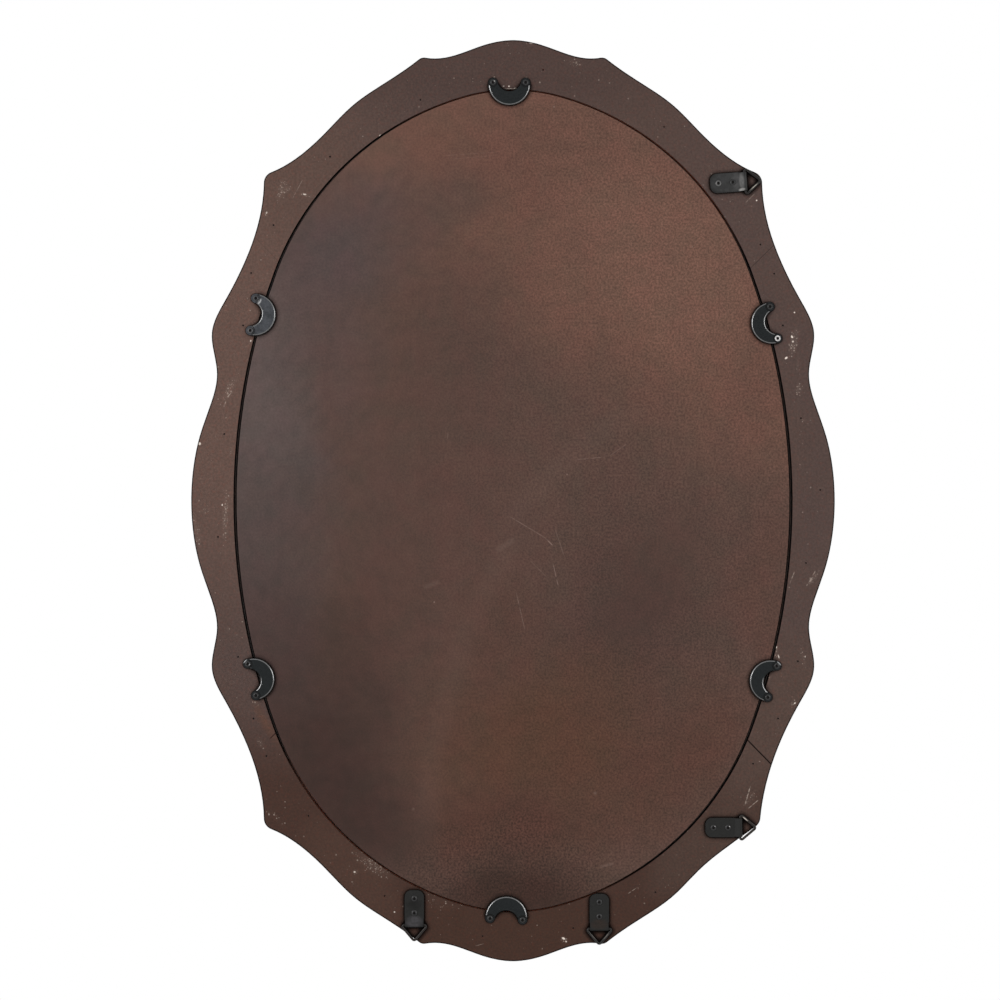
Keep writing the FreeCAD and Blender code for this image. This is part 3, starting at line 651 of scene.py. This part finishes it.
def board_marks(board):
    """Mask of scratches, rubs and specks"""
    broken = board.banded(BOARD_BREAKS)
    lines = board.times(board.most(board.stroke(mark) for mark in BOARD_SCRATCHES), broken)
    rubs = board.most(board.stroke(mark) for mark in BOARD_RUBS)
    specks = board.most(board.area(mark) for mark in BOARD_SPECKS)
    return board.most([lines, rubs, specks])


def hardboard():
    board = Finish("hardboard", roughness=0.75, specular=0.15)
    drift = board.warped(BOARD_DRIFT, BOARD_DRIFT_REACH)
    left, _, up = board.split(drift)
    base = board_tones(board, drift, left, up)
    base, felt = felted(board, base, drift, left)
    base = board.mix(board_marks(board), base, BOARD_MARK)
    # The board's edge in the gap gets painted shade, with dust at the ends
    shaded_edge = board.between(board.facing[1], *BOARD_EDGE)
    base = board.mix(shaded_edge, base, gap_shade_and_dust(board))
    contact_shade = painted_contact_shade(board)
    board.set("Base Color", board.mix(contact_shade, base, DARK_JOINTS_AND_SHADE))
    board.set("Metallic", contact_shade)
    board.set("Roughness", board.spread(felt, *BOARD_ROUGHNESS))
    board.bump(felt, *BOARD_RELIEF)
    return board.material


# Front layer: stained wood, its grain along each member

WOOD_DARK = colour(52, 32, 22)
WOOD_LIGHT = colour(86, 55, 37)
WOOD_RINGS = Pattern(90.0, 4.0, 0.6, (0.35, 0.65))
WOOD_PORES = Pattern(900.0, 2.0)
WOOD_PORE_SHADE = (0.75, 1.2)
WOOD_ROUGHNESS = (0.32, 0.48)
WOOD_COAT = 0.25
WOOD_RELIEF = (0.0002, 0.4)
# How fast the pattern changes along the grain, as a share of how fast it does across
GRAIN_SHARE = 0.08
# Weight of the upper and lower halves, so that each quarter has a number of its own
HALF_WEIGHT = 3.0


def front_wood():
    wood = Finish("front_wood", roughness=0.4)
    # Every member is a quarter, and its grain runs from one of its ends to the other
    low, high = CAD_BOX
    chord = Vector((high.x - low.x, -(high.z - low.z))).normalized()
    out = wood.math("ABSOLUTE", wood.x)
    rise = wood.math("ABSOLUTE", wood.z)
    along = wood.plus(wood.times(out, chord.x), wood.times(rise, chord.y))
    across = wood.plus(wood.times(out, -chord.y), wood.times(rise, chord.x))
    quarter = wood.plus(
        wood.math("SIGN", wood.x), wood.times(wood.math("SIGN", wood.z), HALF_WEIGHT)
    )
    slow = wood.times(along, GRAIN_SHARE)
    member = wood.node("ShaderNodeCombineXYZ", slow, quarter, across).outputs[0]
    rings = wood.noise(WOOD_RINGS, member)
    pores = wood.noise(WOOD_PORES, member)
    base = wood.mix(wood.between(rings, *WOOD_RINGS.band), WOOD_DARK, WOOD_LIGHT)
    wood.set("Base Color", wood.shade(base, wood.spread(pores, *WOOD_PORE_SHADE)))
    wood.set("Roughness", wood.spread(rings, *WOOD_ROUGHNESS))
    wood.set("Coat Weight", WOOD_COAT)
    wood.bump(pores, *WOOD_RELIEF)
    return wood.material


# Glass: a mirror in front, and behind it the painted shade of the gap, with dust towards the ends

GLASS_EDGE = colour(150, 172, 160)
SILVER = colour(236, 239, 238)
GLASS_BEHIND = (0.2, 0.6)
GLASS_FRONT = (-0.2, -0.6)
GLASS_CLOUDS = Pattern(40.0, 3.0)
GLASS_ROUGHNESS = (0.02, 0.6)
GLASS_RELIEF = (0.00001, 0.1)


def silvered_glass():
    glass = Finish("silvered_glass", roughness=0.02)
    behind = glass.between(glass.facing[1], *GLASS_BEHIND)
    silver = glass.between(glass.facing[1], *GLASS_FRONT)
    base = glass.mix(behind, GLASS_EDGE, gap_shade_and_dust(glass))
    base = glass.mix(silver, base, SILVER)
    cloudy = glass.noise(GLASS_CLOUDS)
    glass.set("Base Color", base)
    glass.set("Metallic", glass.most([silver, behind]))
    glass.set("Roughness", glass.spread(behind, *GLASS_ROUGHNESS))
    glass.bump(cloudy, *GLASS_RELIEF)
    return glass.material


# Ironwork: black paint, rubbed to bare dark metal on its rims and worn in a few places, with
# painted highlights and painted shade

BARE_METAL = grey(0.16)
IRON_CAST = Pattern(420.0, 4.0, 0.6)
IRON_CAST_SHADE = (0.65, 1.35)
IRON_STREAKS = Pattern(160.0, 3.0, band=(0.3, 0.6))
IRON_STREAK_SHADE = (0.6, 1.0)
IRON_ROUGHNESS_SWING = (-0.08, 0.12)
IRON_RELIEF = (0.0001, 0.35)
IRON_RIM = (0.985, 0.93)
CREVICE_REACH = 0.002
CREVICE_BAND = (0.15, 0.45)
# The upper left clip is worn lighter; its white spot and inner line and the light arcs on the ears
# of the lower clips are painted highlights
CLIP_WEAR_AND_HIGHLIGHTS = (
    Patch(-313, 222, 45, 45, 0, colour(68, 70, 74), 1.0, 0.8),
    Patch(-302.5, 237.5, 5, 2.6, 60, colour(190, 190, 190), 0.9, 0.3),
    Patch(-309, 215, 22, 2.2, 75, colour(110, 112, 114), 0.6, 0.2),
    Patch(-319.6, -191.6, 4.0, 0.9, 45, colour(170, 170, 170), 0.9, 0.4),
    Patch(317.4, -194.1, 4.0, 0.9, -45, colour(170, 170, 170), 0.9, 0.4),
)
# The rims are dull inside the top and bottom clips, and inside the tops of the two lower ones
CLIP_DULL = (
    Patch(-4, 499.6, 19, 15, 0, None, 1.0, 0.85),
    Patch(-9, -501.6, 19, 16, 0, None, 1.0, 0.85),
    Patch(-306.1, -203.8, 12, 4.5, -50, None, 1.0, 0.6),
    Patch(304.9, -205.6, 11, 4.5, 45, None, 1.0, 0.6),
)
# Wear and rust; the folds of the upper right and bottom left straps carry painted highlights, and
# the dark band on the bottom left one is painted shade
STRAP_WEAR_HIGHLIGHTS_AND_SHADE = (
    Patch(258, 380, 28, 16, 4, colour(56, 56, 56), 0.9, 0.6),
    Patch(266, 381, 7, 13, 4, colour(70, 69, 69), 0.9, 0.4),
    Patch(272.5, 381, 4, 12, 4, colour(96, 95, 94), 0.9, 0.4),
    Patch(273, 371, 5, 2.5, 10, colour(165, 163, 160), 0.8, 0.3),
    Patch(-118, -482, 13, 9, 0, colour(20, 19, 18), 0.7, 0.3),
    Patch(-118, -502, 13, 9, 0, colour(66, 64, 66), 0.9, 0.4),
    Patch(103, -505, 14, 8, 0, colour(46, 37, 32), 0.8, 0.4),
)
# Zinc and worn heads; the four small spots are painted glints
SCREW_WEAR_AND_GLINTS = (
    Patch(316.7, 194.5, 5, 5, 0, colour(225, 222, 220), 1.0, 0.9),
    Patch(243.6, 378.1, 5, 5, 0, colour(104, 103, 102), 0.9, 0.9),
    Patch(-307.1, 241.4, 5, 5, 0, colour(70, 70, 72), 0.9, 0.9),
    Patch(-313.1, 204.4, 5, 5, 0, colour(84, 84, 86), 0.9, 0.9),
    Patch(240.4, -388.6, 1.0, 0.8, 40, colour(190, 188, 185), 1.0, 0.4),
    Patch(258.0, -388.6, 1.1, 0.9, 20, colour(210, 208, 205), 1.0, 0.4),
    Patch(-22.4, 500.4, 1.3, 1.1, 0, colour(215, 210, 205), 1.0, 0.5),
    Patch(-314.5, -195.6, 1.6, 1.0, 50, colour(190, 190, 190), 1.0, 0.4),
)
# Brown wear on two rings; the thin light lines along the legs are painted highlights
RING_WEAR_AND_HIGHLIGHTS = (
    Patch(280, -389, 22, 22, 0, colour(48, 41, 37), 0.8, 0.6),
    Patch(-118, -518, 22, 18, 0, colour(42, 34, 30), 0.8, 0.6),
    Patch(287.2, 374.3, 8.5, 0.8, 42.7, colour(165, 158, 148), 1.0, 0.4),
    Patch(277, -379.4, 5, 0.8, -41, colour(200, 190, 180), 1.0, 0.4),
    Patch(95.5, -520, 7, 0.7, -50, colour(88, 82, 78), 0.8, 0.4),
    Patch(111, -519.5, 7, 0.7, 50, colour(106, 99, 94), 0.9, 0.4),
)


def ironwork(name, tone, roughness, bare, shaded_facing, wear_and_highlights, dull=()):
    """Black metal, worn in places, with painted highlights in some. Its rims are bare by a share,
    and steep faces and crevices get painted shade
    """
    iron = Finish(name, roughness=roughness, specular=0.12)
    cast = iron.noise(IRON_CAST)
    streaky = iron.spread(iron.banded(IRON_STREAKS), *IRON_STREAK_SHADE)
    base = tone
    for patch in wear_and_highlights:
        base = iron.mix(iron.times(iron.area(patch, patch.core), streaky), base, patch.tone)
    rim = iron.times(iron.between(iron.facing[1], *IRON_RIM), bare)
    for patch in dull:
        rim = iron.times(rim, iron.opposite(iron.oval(patch, patch.core)))
    base = iron.shade(iron.mix(rim, base, BARE_METAL), iron.spread(cast, *IRON_CAST_SHADE))
    # Painted shade in crevices and on steep faces
    painted_shade = iron.between(iron.close_by(CREVICE_REACH), *CREVICE_BAND)
    painted_shade = iron.most([painted_shade, iron.between(iron.facing[1], *shaded_facing)])
    iron.set("Base Color", iron.mix(painted_shade, base, SHADE_AND_GRIME))
    iron.set("Metallic", iron.times(rim, iron.opposite(painted_shade)))
    iron.set("Roughness", iron.spread(cast, *(roughness + swing for swing in IRON_ROUGHNESS_SWING)))
    iron.bump(cast, *IRON_RELIEF)
    return iron.material


def clip_black():
    return ironwork(
        "clip_black", colour(26, 29, 30), roughness=0.26, bare=1.0, shaded_facing=(0.5, 0.2),
        wear_and_highlights=CLIP_WEAR_AND_HIGHLIGHTS, dull=CLIP_DULL,
    )


def screw_black():
    # Here the recess and the middle of the head round it get painted shade, and not the steep faces
    return ironwork(
        "screw_black", colour(44, 44, 44), roughness=0.34, bare=0.1, shaded_facing=(0.90, 0.94),
        wear_and_highlights=SCREW_WEAR_AND_GLINTS,
    )


def strap_black():
    return ironwork(
        "strap_black", colour(34, 34, 33), roughness=0.42, bare=0.0, shaded_facing=(0.75, 0.55),
        wear_and_highlights=STRAP_WEAR_HIGHLIGHTS_AND_SHADE,
    )


def ring_black():
    return ironwork(
        "ring_black", colour(28, 25, 23), roughness=0.30, bare=0.12, shaded_facing=(0.6, 0.3),
        wear_and_highlights=RING_WEAR_AND_HIGHLIGHTS,
    )


# Brads: sunk steel, dark with rust

BRAD_DARK = colour(10, 8, 7)
BRAD_RUSTY = colour(18, 14, 12)
BRAD_RUST = Pattern(700.0, 2.0)
BRAD_METAL = 0.4


def brad_steel():
    steel = Finish("brad_steel", roughness=0.6)
    steel.set("Base Color", steel.mix(steel.noise(BRAD_RUST), BRAD_DARK, BRAD_RUSTY))
    steel.set("Metallic", BRAD_METAL)
    return steel.material


FINISHES = {
    "back_paint": back_paint(),
    "front_wood": front_wood(),
    "silvered_glass": silvered_glass(),
    "hardboard": hardboard(),
    "brad_steel": brad_steel(),
    "clip_black": clip_black(),
    "screw_black": screw_black(),
    "strap_black": strap_black(),
    "ring_black": ring_black(),
}
for part in frame["record"]["subparts"]:
    piece = NODES[part["node"]]
    piece.data.materials.clear()
    piece.data.materials.append(FINISHES[part["material_slot"]])


# Studio: white all round, soft lamps behind on both sides and one in front, floor below the mirror


def is_seen(tree):
    """1 for what the camera sees, straight or in a mirror or through glass"""
    path = tree.nodes.new("ShaderNodeLightPath")
    seen = path.outputs["Is Camera Ray"]
    for name in ("Is Glossy Ray", "Is Transmission Ray"):
        either = tree.nodes.new("ShaderNodeMath")
        either.operation = "MAXIMUM"
        tree.links.new(seen, either.inputs[0])
        tree.links.new(path.outputs[name], either.inputs[1])
        seen = either.outputs[0]
    return seen


def light_world():
    world = bpy.data.worlds.new("studio")
    bpy.context.scene.world = world
    world.use_nodes = True
    tree = world.node_tree
    strength = tree.nodes.new("ShaderNodeMapRange")
    strength.inputs["To Min"].default_value = FILL_LIGHT
    tree.links.new(is_seen(tree), strength.inputs["Value"])
    tree.links.new(strength.outputs[0], tree.nodes["Background"].inputs["Strength"])
    tree.nodes["Background"].inputs["Color"].default_value = grey(1.0)


def lay_floor():
    height = CAD_BOX[0].z - FLOOR_DROP
    signs = ((-1, -1), (1, -1), (1, 1), (-1, 1))
    corners = [(x * FLOOR_HALF, y * FLOOR_HALF, height) for x, y in signs]
    mesh = bpy.data.meshes.new("floor")
    mesh.from_pydata(corners, [], [(0, 1, 2, 3)])
    floor = bpy.data.objects.new("floor", mesh)
    bpy.context.scene.collection.objects.link(floor)
    pale = Finish("pale_floor", roughness=0.9)
    pale.set("Base Color", grey(FLOOR_GREY))
    # The floor takes shadow near the object and is plain white further off
    reach = pale.node("ShaderNodeCombineXYZ", pale.x, pale.y).outputs[0]
    away = pale.node("ShaderNodeVectorMath", reach, operation="LENGTH").outputs["Value"]
    near, far = FLOOR_SHADE_REACH
    shaded = pale.times(pale.between(away, far, near), FLOOR_SHADE)
    white = pale.times(is_seen(pale.tree), pale.opposite(shaded))
    glow = pale.node("ShaderNodeEmission").outputs[0]
    both = pale.node("ShaderNodeMixShader", white, pale.shader.outputs[0], glow).outputs[0]
    pale.tree.links.new(both, pale.tree.nodes["Material Output"].inputs["Surface"])
    mesh.materials.append(pale.material)


def hang_lamp(name, place, power):
    lamp = bpy.data.lights.new(name, "AREA")
    lamp.energy = power
    lamp.shape = "RECTANGLE"
    lamp.size = LAMP_WIDTH
    lamp.size_y = LAMP_HEIGHT
    holder = bpy.data.objects.new(name, lamp)
    holder.location = place
    holder.rotation_euler = (-Vector(place)).to_track_quat("-Z", "Y").to_euler()
    bpy.context.scene.collection.objects.link(holder)
    return holder


def place_camera():
    camera = bpy.data.cameras.new("camera")
    camera.sensor_width = SENSOR_MM
    camera.lens = SENSOR_MM * CAMERA_DISTANCE / (IMAGE_PIXELS * PIXEL)
    holder = bpy.data.objects.new("camera", camera)
    half = IMAGE_PIXELS / 2
    holder.location = (
        (MIDDLE_PIXEL[0] - half) * PIXEL,
        CAMERA_DISTANCE,
        (MIDDLE_PIXEL[1] - half) * PIXEL,
    )
    holder.rotation_euler = (math.pi / 2, 0, math.pi)
    bpy.context.scene.collection.objects.link(holder)
    bpy.context.scene.camera = holder


light_world()
lay_floor()
hang_lamp("left_lamp", *LEFT_LAMP)
hang_lamp("right_lamp", *RIGHT_LAMP)
# The mirror would show the lamp in front as a white square
hang_lamp("front_lamp", *FRONT_LAMP).visible_glossy = False
place_camera()
bpy.context.scene.view_settings.view_transform = "Standard"
